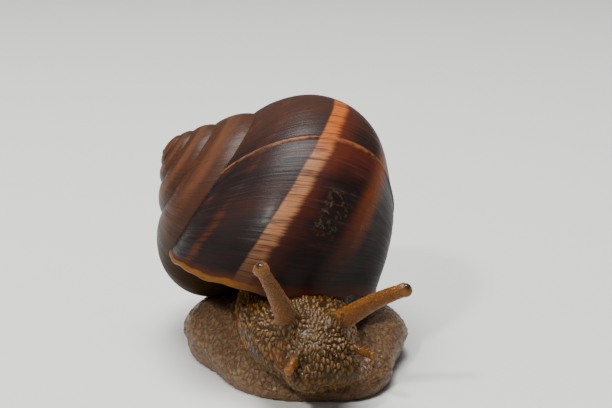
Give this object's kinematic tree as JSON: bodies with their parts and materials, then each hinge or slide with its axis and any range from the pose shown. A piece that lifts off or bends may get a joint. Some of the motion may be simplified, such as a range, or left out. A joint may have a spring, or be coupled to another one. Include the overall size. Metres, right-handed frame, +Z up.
{
  "type": "turkish snail",
  "caption": "Life-size land snail, crawling with head and feelers out under a dark banded spiral shell; a still display model.",
  "frame": {"origin": "on the floor under the middle of the model's bounding box", "axes": "+Z up; the snail faces -Y and its tail points to +Y; its left side is at +X"},
  "size_m": [0.0434, 0.0918, 0.0431],
  "materials": {
    "shell": "satin dark brown shell with a pale band and fine growth lines",
    "flesh": "wet tan-brown skin with raised grains",
    "eye": "glossy near-black eye spot"
  },
  "bodies": {
    "root": {"shell": "shell", "mantle": "flesh", "neck": "flesh", "head": "flesh", "foot_front": "flesh", "foot_middle": "flesh", "tail": "flesh", "mouth_lobe_left": "flesh", "mouth_lobe_right": "flesh", "tentacle_upper_left": "flesh", "tentacle_upper_right": "flesh", "tentacle_lower_left": "flesh", "tentacle_lower_right": "flesh", "eye_left": "eye", "eye_right": "eye"}
  },
  "joints": []
}
